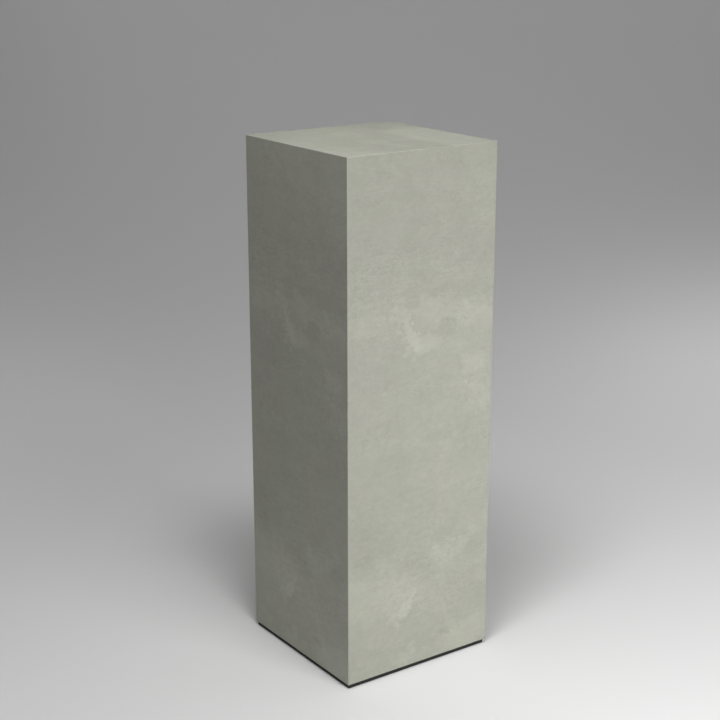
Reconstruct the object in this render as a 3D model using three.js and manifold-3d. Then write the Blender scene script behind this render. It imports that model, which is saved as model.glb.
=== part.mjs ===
// Display plinth: a tall square block in a smooth concrete finish, on a thin dark foot.
// The block is one seamless shell of four walls and a top, hollow and open below.
// The foot is a square frame of flat strip under the walls. It is set back from the faces,
// so that the block seems to float over a line of shadow.
// Lengths are millimetres. +Z is up, and the origin is on the floor under the middle of the block.

import * as THREE from "three";
import { mergeVertices } from "three/addons/utils/BufferGeometryUtils.js";
import Module from "manifold-3d";

// Block
const blockWidth = 300; // each side of the square plan
const blockHeight = 900; // from the lower edge of the walls to the top face
const wallThickness = 20;
const topThickness = 25;
const arris = 1; // flat taken off every outer edge, so that it doesn't chip

// Foot
const footHeight = 7.5; // from the floor to the lower edge of the walls
const footRecess = 3; // from the block's faces back to the foot
const glueLine = 0.3; // between the foot and the walls that stand on it

const wasm = await Module();
wasm.setup();

// A closed three.js geometry as a solid that can be cut.
function toSolid(geometry) {
  const bare = geometry.clone();
  bare.deleteAttribute("normal");
  bare.deleteAttribute("uv");
  const merged = mergeVertices(bare);
  return new wasm.Manifold(new wasm.Mesh({
    numProp: 3,
    vertProperties: new Float32Array(merged.attributes.position.array),
    triVerts: new Uint32Array(merged.index.array),
  }));
}

// A cut solid as a three.js geometry with flat faces.
function toGeometry(solid) {
  const mesh = solid.getMesh();
  const geometry = new THREE.BufferGeometry();
  geometry.setAttribute("position", new THREE.BufferAttribute(mesh.vertProperties, 3));
  geometry.setIndex(new THREE.BufferAttribute(mesh.triVerts, 1));
  const flat = geometry.toNonIndexed();
  flat.computeVertexNormals();
  return flat;
}

// A square around the origin, with each corner cut back by the given length along both sides.
function squareOutline(side, cornerCut = 0) {
  const half = side / 2;
  const corners = [];
  for (let quarter = 0; quarter < 4; quarter++) {
    const turn = (quarter * Math.PI) / 2;
    const centre = new THREE.Vector2(0, 0);
    const entering = new THREE.Vector2(half, half - cornerCut);
    corners.push(entering.rotateAround(centre, turn));
    if (cornerCut > 0) {
      const leaving = new THREE.Vector2(half - cornerCut, half);
      corners.push(leaving.rotateAround(centre, turn));
    }
  }
  return corners;
}

// The block's outer form, from z = 0 up, with the arris along its upright, top and bottom edges.
function blockForm() {
  const outline = new THREE.Shape(squareOutline(blockWidth, arris));
  const form = new THREE.ExtrudeGeometry(outline, {
    depth: blockHeight - 2 * arris,
    bevelThickness: arris,
    bevelSize: arris,
    bevelOffset: -arris,
    bevelSegments: 1,
  });
  return form.translate(0, 0, arris);
}

// The space inside the walls and under the top. It runs out below, so that the cut is open there.
function hollowForm() {
  const width = blockWidth - 2 * wallThickness;
  const height = blockHeight - topThickness;
  const past = wallThickness;
  const form = new THREE.BoxGeometry(width, width, height + past);
  return form.translate(0, 0, (height - past) / 2);
}

function makeBlock() {
  const shell = toSolid(blockForm()).subtract(toSolid(hollowForm()));
  const concrete = new THREE.MeshStandardMaterial({
    name: "smooth_concrete",
    color: new THREE.Color("rgb(173, 174, 162)"),
    roughness: 0.72,
    metalness: 0,
  });
  const block = new THREE.Mesh(toGeometry(shell), concrete);
  block.name = "concrete_block";
  block.position.z = footHeight;
  return block;
}

// The strip reaches from the recess to the walls' inner faces, so the walls stand on its whole width.
function makeFoot() {
  const stripWidth = wallThickness - footRecess;
  const outerWidth = blockWidth - 2 * footRecess;
  const frame = new THREE.Shape(squareOutline(outerWidth));
  frame.holes.push(new THREE.Path(squareOutline(outerWidth - 2 * stripWidth)));
  const form = new THREE.ExtrudeGeometry(frame, {
    depth: footHeight - glueLine,
    bevelEnabled: false,
  });
  const darkRubber = new THREE.MeshStandardMaterial({
    name: "dark_rubber",
    color: new THREE.Color("rgb(34, 35, 32)"),
    roughness: 0.85,
    metalness: 0,
  });
  const foot = new THREE.Mesh(form, darkRubber);
  foot.name = "foot_frame";
  return foot;
}

const plinth = new THREE.Group();
plinth.add(makeBlock());
plinth.add(makeFoot());

export default plinth;
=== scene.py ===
import math

import bmesh
import bpy
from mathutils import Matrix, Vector


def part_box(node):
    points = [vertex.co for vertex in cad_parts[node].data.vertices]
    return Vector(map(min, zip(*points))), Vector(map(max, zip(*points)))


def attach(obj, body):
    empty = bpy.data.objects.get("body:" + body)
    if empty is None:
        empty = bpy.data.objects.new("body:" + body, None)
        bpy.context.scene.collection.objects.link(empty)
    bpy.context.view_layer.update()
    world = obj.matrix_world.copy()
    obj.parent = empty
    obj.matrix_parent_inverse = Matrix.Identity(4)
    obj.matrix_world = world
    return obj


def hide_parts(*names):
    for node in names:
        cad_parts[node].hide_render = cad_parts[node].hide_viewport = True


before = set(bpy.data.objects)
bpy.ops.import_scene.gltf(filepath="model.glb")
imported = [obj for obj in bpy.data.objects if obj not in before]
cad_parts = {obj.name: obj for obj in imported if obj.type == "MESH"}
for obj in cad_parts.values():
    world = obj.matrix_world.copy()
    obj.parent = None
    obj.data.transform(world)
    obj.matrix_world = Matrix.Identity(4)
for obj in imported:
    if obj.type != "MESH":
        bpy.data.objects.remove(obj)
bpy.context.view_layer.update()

# Camera
# A photographer's view from the front left, a little above the top of the block, with a short
# telephoto lens that keeps the upright edges nearly parallel.
camera_place = (-1.4421, -2.0192, 1.2635)
camera_turn = math.radians(-35.155)
camera_dip = math.radians(16.63)

camera_data = bpy.data.cameras.new("studio_camera")
camera_data.lens = 74.7
camera_data.sensor_width = 36
camera = bpy.data.objects.new("studio_camera", camera_data)
camera.location = camera_place
camera.rotation_euler = (math.pi / 2 - camera_dip, 0, camera_turn)
bpy.context.scene.collection.objects.link(camera)
bpy.context.scene.camera = camera

# Block
# The plinth itself: a seamless hollow shell of fibre-reinforced cement, cast upside down in a mould,
# so that four walls and the top are one piece and the underside is open. The outer edges are eased by
# hand once it is out of the mould, and the inner corners keep the mould's fillet.
block_low, block_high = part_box("concrete_block")
block_size = block_high - block_low
block_middle = (block_low + block_high) / 2
wall_thickness = 0.020
top_thickness = 0.025
outer_arris = 0.001
mould_fillet = 0.004

block_mesh = bmesh.new()
bmesh.ops.create_cube(block_mesh, size=1)
bmesh.ops.scale(block_mesh, vec=block_size, verts=block_mesh.verts)
bmesh.ops.translate(block_mesh, vec=block_middle, verts=block_mesh.verts)
outer_edges = list(block_mesh.edges)

underside = min(block_mesh.faces, key=lambda face: face.calc_center_median().z)
bmesh.ops.inset_region(
    block_mesh, faces=[underside], thickness=wall_thickness, use_boundary=True, use_even_offset=True
)
hollow = bmesh.ops.extrude_face_region(block_mesh, geom=[underside])
hollow_corners = [item for item in hollow["geom"] if isinstance(item, bmesh.types.BMVert)]
hollow_depth = block_size.z - top_thickness
bmesh.ops.translate(block_mesh, vec=(0, 0, hollow_depth), verts=hollow_corners)
bmesh.ops.delete(block_mesh, geom=[underside], context="FACES_ONLY")
hollow_edges = {edge for corner in hollow_corners for edge in corner.link_edges}


def ease_edges(mesh, edges, reach, steps):
    """Rounds the given edges of a mesh over a reach on both sides, in a few steps."""
    eased = bmesh.ops.bevel(
        mesh,
        geom=list(edges),
        offset=reach,
        offset_type="OFFSET",
        affect="EDGES",
        segments=steps,
        profile=0.5,
        material=-1,
    )
    for face in eased["faces"]:
        face.smooth = True


ease_edges(block_mesh, outer_edges, outer_arris, 3)
ease_edges(block_mesh, hollow_edges, mould_fillet, 4)

# Each face of the block gets its own place coordinates in metres, across from its left edge and up
# from the block's lower edge, as someone facing it would measure them. The two sides that stand away
# from the viewer and the top are shifted along, so that their clouds differ.
face_place = block_mesh.loops.layers.uv.new("face_place")
away_shift = 4.0
side_shift = 8.0
top_shift = 12.0
skin_slot = 0
raw_slot = 1
level = 0.9  # a face whose normal rises or falls by more than this counts as level
half_width = block_size.x / 2
inner_half = half_width - wall_thickness + outer_arris
for face in block_mesh.faces:
    normal = face.normal
    centre = face.calc_center_median()
    within_walls = max(abs(centre.x), abs(centre.y)) < inner_half
    inside = within_walls and centre.z < block_high.z - top_thickness / 2
    face.material_index = raw_slot if inside or normal.z < -level else skin_slot
    for loop in face.loops:
        spot = loop.vert.co
        height = spot.z - block_low.z
        if abs(normal.z) > level:
            across = half_width + spot.x + top_shift
            height = half_width + spot.y
        elif abs(normal.y) > abs(normal.x):
            across = half_width + spot.x if normal.y < 0 else half_width - spot.x + away_shift
        else:
            across = half_width - spot.y if normal.x < 0 else half_width + spot.y + side_shift
        loop[face_place].uv = (across, height)

block_data = bpy.data.meshes.new("cast_block")
block_mesh.to_mesh(block_data)
block_mesh.free()
block = bpy.data.objects.new("cast_block", block_data)
bpy.context.scene.collection.objects.link(block)


def put(tree, kind, inputs=None, **settings):
    """Puts a node in a tree. An input is a plain value or another node's output."""
    node = tree.nodes.new(kind)
    for name, value in settings.items():
        setattr(node, name, value)
    for name, value in (inputs or {}).items():
        if isinstance(value, bpy.types.NodeSocket):
            tree.links.new(value, node.inputs[name])
        else:
            node.inputs[name].default_value = value
    return node


def sum_of(tree, value, factor, added):
    """Value times factor, plus what is added."""
    node = put(tree, "ShaderNodeMath", {0: value, 1: factor, 2: added}, operation="MULTIPLY_ADD")
    return node.outputs[0]


def new_group(name, inputs, outputs):
    """An empty shader node group with named inputs and outputs, and its two end nodes."""
    group = bpy.data.node_groups.new(name, "ShaderNodeTree")
    for socket_name, kind, value in inputs:
        socket = group.interface.new_socket(socket_name, in_out="INPUT", socket_type=kind)
        if value is not None:
            socket.default_value = value
    for socket_name, kind in outputs:
        group.interface.new_socket(socket_name, in_out="OUTPUT", socket_type=kind)
    return group, group.nodes.new("NodeGroupInput").outputs, group.nodes.new("NodeGroupOutput").inputs


def put_group(tree, group, inputs, label=""):
    """Puts a node group in a tree, labelled if it has a name, and gives its first output."""
    return put(tree, "ShaderNodeGroup", inputs, node_tree=group, label=label).outputs[0]


def new_material(name):
    """A new material, with its node tree and its surface shader."""
    material = bpy.data.materials.new(name)
    material.use_nodes = True
    return material, material.node_tree, material.node_tree.nodes["Principled BSDF"]


def toned(tree, colour, tone):
    """A colour made paler or darker by a tone that changes over the surface."""
    return put(tree, "ShaderNodeVectorMath", {0: colour, "Scale": tone}, operation="SCALE").outputs[0]


def bump_up(tree, surface, height, strength, metres):
    """Raises and pits the shading of a surface by a height from 0 to 1."""
    bump = put(tree, "ShaderNodeBump", {"Strength": strength, "Distance": metres, "Height": height})
    tree.links.new(bump.outputs[0], surface.inputs["Normal"])


def patch_group():
    """One soft-edged oval patch: 1 in its middle and 0 at its edge and beyond."""
    group, given, made = new_group(
        "soft patch",
        [
            ("Place", "NodeSocketVector", None),
            ("Middle", "NodeSocketVector", None),
            ("Half Size", "NodeSocketVector", None),
            ("Turn", "NodeSocketVector", None),
        ],
        [("Patch", "NodeSocketFloat")],
    )
    frame_of_patch = {
        "Vector": given["Place"],
        "Location": given["Middle"],
        "Rotation": given["Turn"],
        "Scale": given["Half Size"],
    }
    local = put(group, "ShaderNodeMapping", frame_of_patch, vector_type="TEXTURE")
    reach = put(group, "ShaderNodeVectorMath", {0: local.outputs[0]}, operation="LENGTH")
    falling = {
        "Value": reach.outputs["Value"],
        "From Min": 0.35,
        "From Max": 1.0,
        "To Min": 1.0,
        "To Max": 0.0,
    }
    fade = put(group, "ShaderNodeMapRange", falling, interpolation_type="SMOOTHSTEP")
    group.links.new(fade.outputs[0], made["Patch"])
    return group


def mottling_group(dimensions):
    """Mottling of settled and wiped cement, on a face or through a body: a value mostly from -1 to 1."""
    group, given, made = new_group(
        "cement mottling " + dimensions,
        [
            ("Place", "NodeSocketVector", None),
            ("Per Metre", "NodeSocketFloat", 10.0),
            ("Stretch", "NodeSocketVector", (1.0, 1.0, 1.0)),
            ("Turn", "NodeSocketVector", None),
            ("Detail", "NodeSocketFloat", 4.0),
            ("Roughness", "NodeSocketFloat", 0.6),
            ("Warp", "NodeSocketFloat", 0.3),
        ],
        [("Mottling", "NodeSocketFloat")],
    )
    turned = put(
        group,
        "ShaderNodeMapping",
        {"Vector": given["Place"], "Rotation": given["Turn"], "Scale": given["Stretch"]},
        vector_type="POINT",
    )
    noise = put(
        group,
        "ShaderNodeTexNoise",
        {
            "Vector": turned.outputs[0],
            "Scale": given["Per Metre"],
            "Detail": given["Detail"],
            "Roughness": given["Roughness"],
            "Distortion": given["Warp"],
        },
        noise_dimensions=dimensions,
    )
    group.links.new(sum_of(group, noise.outputs[0], 4.0, -2.0), made["Mottling"])
    return group


def pinhole_group():
    """Small open air bubbles, few and far between: 1 in a hole and 0 elsewhere."""
    group, given, made = new_group(
        "pinholes",
        [
            ("Place", "NodeSocketVector", None),
            ("Per Metre", "NodeSocketFloat", 90.0),
            ("Share", "NodeSocketFloat", 0.12),
            ("Size", "NodeSocketFloat", 0.07),
        ],
        [("Holes", "NodeSocketFloat")],
    )
    cells = put(group, "ShaderNodeTexVoronoi", {"Vector": given["Place"], "Scale": given["Per Metre"]})
    lot = put(group, "ShaderNodeSeparateColor", {0: cells.outputs["Color"]})
    chosen = put(group, "ShaderNodeMath", {0: lot.outputs[0], 1: given["Share"]}, operation="LESS_THAN")
    width = put(group, "ShaderNodeMath", {0: lot.outputs[1], 1: given["Size"]}, operation="MULTIPLY")
    falling = {
        "Value": cells.outputs["Distance"],
        "From Min": 0.0,
        "From Max": width.outputs[0],
        "To Min": 1.0,
        "To Max": 0.0,
    }
    pit = put(group, "ShaderNodeMapRange", falling, interpolation_type="SMOOTHSTEP")
    holes = put(group, "ShaderNodeMath", {0: pit.outputs[0], 1: chosen.outputs[0]}, operation="MULTIPLY")
    group.links.new(holes.outputs[0], made["Holes"])
    return group


soft_patch = patch_group()
face_mottling = mottling_group("2D")
body_mottling = mottling_group("3D")
pinholes = pinhole_group()


# The finish of the block's faces: a smooth skin with no pattern of its own, wiped by hand before it set.
# It keeps paler and darker blooms, streaks of the wiping, curds and a fine grain.
# Name, middle in mm across and down from the face's top left, half size, turn in degrees, paler, mauver
blooms = [
    ("hook, upper end", (101, 256), (17, 36), 14, 0.080, 0.4),
    ("hook, bend", (126, 302), (22, 42), 32, 0.135, 0.45),
    ("hook, lower end", (155, 325), (42, 18), 8, 0.090, 0.45),
    ("arch over the eye", (190, 266), (110, 30), -8, 0.070, 0.2),
    ("arch, right side", (268, 292), (60, 42), 0, 0.095, 0.3),
    ("sill under the eye", (215, 326), (75, 20), 0, 0.030, 0.0),
    ("eye", (206, 297), (36, 16), 5, -0.045, 0.0),
    ("hole in the hook", (128, 274), (15, 12), 0, -0.060, 0.0),
    ("pale grains at the left", (42, 268), (66, 46), 0, 0.045, 0.0),
    ("dark gap by the hook", (78, 262), (14, 22), 0, -0.035, 0.0),
    ("shade under the grains", (60, 345), (120, 60), 0, -0.030, 0.4),
    ("dark band", (190, 236), (150, 26), 0, -0.040, 0.1),
    ("upper band", (150, 140), (240, 150), 0, -0.008, 0.38),
    ("shade at the right of the band", (270, 180), (60, 40), 0, -0.025, 0.1),
    ("first blotch", (262, 378), (42, 34), 10, 0.120, 0.35),
    ("second blotch", (276, 430), (42, 36), 0, 0.095, 0.4),
    ("first spot", (205, 372), (22, 16), 0, 0.030, 0.0),
    ("top right", (262, 56), (90, 26), 12, 0.045, -0.45),
    ("right edge, high", (282, 100), (36, 46), 0, 0.040, 0.0),
    ("top left", (22, 22), (34, 26), 0, 0.035, -0.5),
    ("top edge", (165, 10), (30, 20), 0, 0.055, -0.3),
    ("spot over the band", (155, 134), (24, 14), 0, 0.030, 0.0),
    ("shade at mid left", (20, 520), (100, 200), 0, -0.032, 0.15),
    ("mid light", (190, 530), (190, 250), 0, -0.010, -0.28),
    ("warm streak", (190, 560), (22, 80), 0, 0.012, 0.45),
    ("dark spots", (40, 655), (110, 44), -8, -0.032, 0.1),
    ("dark spot at the left", (45, 652), (20, 14), 0, -0.035, 0.0),
    ("puffs", (200, 706), (34, 36), 0, 0.100, 0.15),
    ("puffs, right", (250, 690), (56, 16), 20, 0.085, 0.2),
    ("puffs, low", (236, 728), (34, 20), 0, 0.045, 0.0),
    ("lower left", (45, 750), (120, 62), 0, 0.085, 0.0),
    ("over the lower left", (85, 692), (60, 22), 10, 0.040, 0.0),
    ("brush stroke", (118, 786), (60, 17), 48, 0.140, 0.25),
    ("lower part", (150, 860), (280, 190), 0, 0.060, 0.0),
    ("lower shade", (110, 845), (140, 44), 8, -0.025, 0.05),
    ("shade at the lower right", (258, 792), (66, 50), 0, -0.030, 0.0),
    ("lower right corner", (258, 874), (86, 42), 12, 0.095, -0.3),
    ("corner puff", (222, 840), (28, 14), 0, 0.040, 0.0),
    ("foot puff", (118, 878), (34, 18), 25, 0.100, 0.0),
    ("right edge, low", (292, 740), (22, 70), 0, 0.050, 0.0),
    ("spot by the corner", (203, 860), (20, 10), 0, -0.085, 0.0),
    ("dark spot by the stroke", (203, 800), (16, 12), 0, -0.070, 0.0),
    ("dark spot above the stroke", (155, 727), (26, 12), -20, -0.055, 0.0),
    ("dark spot in the middle", (130, 712), (16, 16), 0, -0.045, 0.0),
]
# Bands where curds and grain stayed rough: name, middle, half size, how much more of them is left
rough_bands = [
    ("speckled band", (110, 205), (180, 60), 0.55),
    ("speckled left end of the band", (40, 250), (60, 60), 0.45),
    ("curdled lower part", (170, 750), (210, 90), 0.45),
    ("curdled blotches", (255, 400), (70, 70), 0.4),
]
top_blooms = [
    ("far corner of the top", (235, 15), (250, 190), 0, 0.080, 0.0),
    ("near edge of the top", (130, 305), (260, 100), 0, -0.035, 0.0),
    ("upper streak of the top", (148, 80), (26, 66), 0, 0.060, 0.0),
    ("middle of the top", (200, 190), (40, 44), 0, 0.070, 0.3),
    ("right of the top", (268, 70), (34, 66), 0, 0.050, 0.0),
    ("left streak of the top", (132, 190), (20, 66), -12, 0.050, 0.0),
    ("right edge of the top", (284, 200), (22, 44), 0, 0.040, 0.0),
    ("dark streak of the top", (234, 48), (20, 44), -12, -0.060, 0.0),
    ("dark left of the top", (66, 210), (74, 80), 0, -0.040, -0.2),
    ("dark front of the top", (106, 256), (34, 44), -20, -0.045, 0.0),
    ("dark back of the top", (30, 50), (60, 70), 0, -0.030, 0.0),
]


# How far each size of mottling moves the tone up and down, and how far the painted shade in a pinhole
# darkens it
slow_depth = 0.020
blot_depth = 0.052
curd_depth = 0.056
streak_depth = 0.024
grain_depth = 0.036
pinhole_painted_shade = -0.10
# How far a bloom's ragged edge wanders, in metres, and the two greys that the hue drifts between
edge_wander = (0.10, 0.08, 0.0)
hue_drift = 0.8
greenish = (0.2991, 0.3068, 0.2542, 1.0)
mauve = (0.3053, 0.3045, 0.2634, 1.0)


def mottle(tree, place, per_metre, flatten, turn, detail, roughness):
    """Puts one size of mottling on a face, flattened and turned by some degrees."""
    return put_group(
        tree,
        face_mottling,
        {
            "Place": place,
            "Per Metre": per_metre,
            "Stretch": (1.0, flatten, 1.0),
            "Turn": (0.0, 0.0, math.radians(-turn)),
            "Detail": detail,
            "Roughness": roughness,
            "Warp": 0.0,
        },
    )


def patch_on_face(tree, name, place, left, top, middle, half_size, turn=0):
    """Puts a soft patch on a face that starts at left and ends at top. Middle and half size are in mm."""
    across, down = middle
    half_across, half_down = half_size
    return put_group(
        tree,
        soft_patch,
        {
            "Place": place,
            "Middle": (left + across / 1000, top - down / 1000, 0.0),
            "Half Size": (half_across / 1000, half_down / 1000, 1.0),
            "Turn": (0.0, 0.0, math.radians(turn)),
        },
        name,
    )


def skin_material():
    """Smooth wiped cement skin, matt, pale greenish grey."""
    material, tree, surface = new_material("smooth_cement_skin")
    place = put(tree, "ShaderNodeUVMap", uv_map="face_place").outputs[0]

    # Ragged edges: every bloom is looked up at a place that wanders by about a centimetre
    wander = put(
        tree,
        "ShaderNodeTexNoise",
        {"Vector": place, "Scale": 34.0, "Detail": 4.0, "Roughness": 0.8},
        noise_dimensions="2D",
    )
    centred = put(
        tree,
        "ShaderNodeVectorMath",
        {0: wander.outputs["Color"], 1: (0.5, 0.5, 0.5)},
        operation="SUBTRACT",
    )
    moved = put(
        tree,
        "ShaderNodeVectorMath",
        {0: centred.outputs[0], 1: edge_wander, 2: place},
        operation="MULTIPLY_ADD",
    ).outputs[0]

    blooming = 0.0
    tinting = 0.5
    for face_blooms, left, top in ((blooms, 0.0, block_size.z), (top_blooms, top_shift, block_size.y)):
        for name, middle, half_size, turn, paler, mauver in face_blooms:
            patch = patch_on_face(tree, name, moved, left, top, middle, half_size, turn)
            blooming = sum_of(tree, patch, paler, blooming)
            if mauver:
                tinting = sum_of(tree, patch, mauver, tinting)

    # Mottling from a hand's width down to grains
    slow = mottle(tree, place, per_metre=5.0, flatten=1.3, turn=0, detail=1.0, roughness=0.6)
    blots = mottle(tree, place, per_metre=22.0, flatten=1.4, turn=6, detail=4.0, roughness=0.75)
    curds = mottle(tree, place, per_metre=75.0, flatten=1.5, turn=10, detail=3.0, roughness=0.8)
    streaks = mottle(tree, place, per_metre=34.0, flatten=7.0, turn=11, detail=3.0, roughness=0.7)
    grains = mottle(tree, place, per_metre=220.0, flatten=1.2, turn=10, detail=2.0, roughness=0.9)

    # Curds and grain are strong in some places and nearly wiped away in others
    wiping = mottle(tree, place, per_metre=11.0, flatten=1.6, turn=10, detail=3.0, roughness=0.7)
    kept = put(
        tree,
        "ShaderNodeMapRange",
        {"Value": wiping, "From Min": -0.7, "From Max": 0.7, "To Min": 0.40, "To Max": 1.30},
    ).outputs[0]
    for name, middle, half_size, more in rough_bands:
        patch = patch_on_face(tree, name, moved, 0.0, block_size.z, middle, half_size)
        kept = sum_of(tree, patch, more, kept)
    curdling = sum_of(tree, curds, curd_depth, 0.0)
    curdling = sum_of(tree, streaks, streak_depth, curdling)
    curdling = sum_of(tree, grains, grain_depth, curdling)
    tone = sum_of(tree, blooming, 1.0, 1.0)
    tone = sum_of(tree, slow, slow_depth, tone)
    tone = sum_of(tree, blots, blot_depth, tone)
    tone = sum_of(tree, curdling, kept, tone)

    # Slow drift of hue between a greenish and a mauve grey
    drift = mottle(tree, place, per_metre=12.0, flatten=1.0, turn=0, detail=4.0, roughness=0.75)
    share = sum_of(tree, drift, hue_drift, tinting)
    hue = put(tree, "ShaderNodeMix", {"Factor": share, "A": greenish, "B": mauve}, data_type="RGBA")
    holes = put_group(tree, pinholes, {"Place": place})
    # Each pinhole's pit is darkened in the colour: painted shade in the pit
    tone = sum_of(tree, holes, pinhole_painted_shade, tone)
    tree.links.new(toned(tree, hue.outputs["Result"], tone), surface.inputs["Base Color"])

    # A fine tooth that takes the gloss off, and the pinholes' small pits
    tooth = put(
        tree,
        "ShaderNodeTexNoise",
        {"Vector": place, "Scale": 420.0, "Detail": 2.0},
        noise_dimensions="2D",
    ).outputs[0]
    bump_up(tree, surface, sum_of(tree, holes, -1.0, tooth), strength=0.35, metres=0.0004)
    tree.links.new(sum_of(tree, tooth, 0.12, 0.68), surface.inputs["Roughness"])
    return material


def raw_material():
    """The rougher cement of the hollow and the rim, left as it came from the mould."""
    material, tree, surface = new_material("raw_cement")
    raw_grey = (0.245, 0.245, 0.216)
    place = put(tree, "ShaderNodeTexCoord").outputs["Object"]
    clouds = put_group(tree, body_mottling, {"Place": place, "Per Metre": 16.0, "Detail": 6.0, "Warp": 0.8})
    grains = put(tree, "ShaderNodeTexNoise", {"Vector": place, "Scale": 300.0, "Detail": 4.0})
    holes = put_group(tree, pinholes, {"Place": place, "Per Metre": 60.0, "Share": 0.3, "Size": 0.16})
    tone = sum_of(tree, clouds, 0.10, 1.0)
    # Each pinhole is darkened in the colour: painted shade in the pit
    tone = sum_of(tree, holes, -0.35, tone)
    tree.links.new(toned(tree, raw_grey, tone), surface.inputs["Base Color"])
    bump_up(tree, surface, sum_of(tree, holes, -1.5, grains.outputs["Fac"]), strength=0.7, metres=0.0008)
    surface.inputs["Roughness"].default_value = 0.95
    return material


block_data.materials.append(skin_material())
block_data.materials.append(raw_material())
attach(block, "root")
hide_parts("concrete_block")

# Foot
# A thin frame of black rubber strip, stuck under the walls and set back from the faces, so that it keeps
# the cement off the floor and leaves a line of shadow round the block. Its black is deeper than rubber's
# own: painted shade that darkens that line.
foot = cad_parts["foot_frame"]


def rubber_and_painted_shade_material():
    """Dull black rubber with a faint bloom of dust, its black deepened as painted shade for the line under
    the block.
    """
    material, tree, surface = new_material("black_rubber_and_painted_shade")
    # A black deeper than rubber's own: painted shade for the line under the block
    rubber_black_deepened_as_shade = (0.007, 0.007, 0.0065, 1.0)
    dusty_black = (0.030, 0.030, 0.027, 1.0)
    place = put(tree, "ShaderNodeTexCoord").outputs["Object"]
    dust = put_group(tree, body_mottling, {"Place": place, "Per Metre": 60.0, "Detail": 5.0})
    dust = sum_of(tree, dust, 0.10, 0.12)
    colour = put(
        tree,
        "ShaderNodeMix",
        {"Factor": dust, "A": rubber_black_deepened_as_shade, "B": dusty_black},
        data_type="RGBA",
    )
    tree.links.new(colour.outputs["Result"], surface.inputs["Base Color"])
    pores = put(tree, "ShaderNodeTexNoise", {"Vector": place, "Scale": 900.0, "Detail": 3.0})
    bump_up(tree, surface, pores.outputs["Fac"], strength=0.4, metres=0.0002)
    surface.inputs["Roughness"].default_value = 0.85
    return material


foot.data.materials.clear()
foot.data.materials.append(rubber_and_painted_shade_material())

# Studio
# A plain pale floor that curves up all round into one wide bowl of a backdrop, so that no corner
# shows. Soft lights stand above the block, in front of it, at both sides and behind.
floor_radius = 0.8
cove_radius = 5.0
cove_steps = 20
round_steps = 64

sweep_mesh = bmesh.new()
rim_start = sweep_mesh.verts.new((floor_radius, 0, 0))
floor_middle = sweep_mesh.verts.new((0, 0, 0))
sweep_mesh.edges.new((floor_middle, rim_start))
bmesh.ops.spin(
    sweep_mesh,
    geom=[rim_start],
    cent=(floor_radius, 0, cove_radius),
    axis=(0, -1, 0),
    angle=math.pi / 2,
    steps=cove_steps,
)
bmesh.ops.spin(
    sweep_mesh,
    geom=sweep_mesh.verts[:] + sweep_mesh.edges[:],
    cent=(0, 0, 0),
    axis=(0, 0, 1),
    angle=2 * math.pi,
    steps=round_steps,
    use_merge=True,
)
bmesh.ops.remove_doubles(sweep_mesh, verts=sweep_mesh.verts, dist=0.0001)
for face in sweep_mesh.faces:
    face.smooth = True
sweep_data = bpy.data.meshes.new("studio_sweep")
sweep_mesh.to_mesh(sweep_data)
sweep_mesh.free()
sweep = bpy.data.objects.new("studio_sweep", sweep_data)
bpy.context.scene.collection.objects.link(sweep)
paper, _, paper_surface = new_material("studio_paper")
paper_surface.inputs["Base Color"].default_value = (0.8, 0.8, 0.8, 1.0)
paper_surface.inputs["Roughness"].default_value = 1.0
paper_surface.inputs["Specular IOR Level"].default_value = 0.0
sweep_data.materials.append(paper)


def soft_light(name, place, width, watts, aim=None, spread=180):
    """A square softbox that faces straight down, or its aim. A grid narrows its spread in degrees."""
    below = (place[0], place[1], 0.0)
    facing = Vector(aim or below) - Vector(place)
    light_data = bpy.data.lights.new(name, "AREA")
    light_data.shape = "SQUARE"
    light_data.size = width
    light_data.energy = watts
    light_data.spread = math.radians(spread)
    light = bpy.data.objects.new(name, light_data)
    light.location = place
    light.rotation_euler = facing.to_track_quat("-Z", "Y").to_euler()
    light.visible_camera = False
    bpy.context.scene.collection.objects.link(light)


block_waist = (0.0, 0.0, 0.40)
block_heart = (0.0, 0.0, 0.50)
soft_light("high_front_left", (-2.030, -1.068, 3.868), 1.0, 20.96)
soft_light("low_front_middle", (0.133, -1.446, 0.500), 0.6, 6.20, block_waist, 120)
soft_light("low_beside_right", (0.626, -0.517, 0.913), 1.137, 0.58)
soft_light("upper_back_right", (2.108, 2.489, 1.513), 3.0, 4.70)
soft_light("close_over_the_top", (-0.265, -0.330, 1.787), 0.326, 10.25, block_heart)
soft_light("upper_front_right", (1.263, -3.030, 1.863), 0.289, 2.20)
soft_light("low_far_right", (1.595, 0.522, 0.800), 0.521, 1.35)
soft_light("low_front_right", (1.122, -0.703, 0.800), 0.961, 3.30)
soft_light("upper_front_left", (-0.930, -2.861, 1.614), 0.916, 7.60, block_heart)
soft_light("low_back_middle", (-0.313, 1.506, 0.800), 0.417, 0.60)
soft_light("low_beside_left", (-1.131, 0.158, 0.813), 0.4, 0.65)

studio_air = bpy.data.worlds.new("studio_air")
studio_air.use_nodes = True
glow = studio_air.node_tree.nodes["Background"]
glow.inputs["Color"].default_value = (1.0, 1.0, 1.0, 1.0)
glow.inputs["Strength"].default_value = 0.122
bpy.context.scene.world = studio_air
bpy.context.scene.view_settings.view_transform = "Standard"
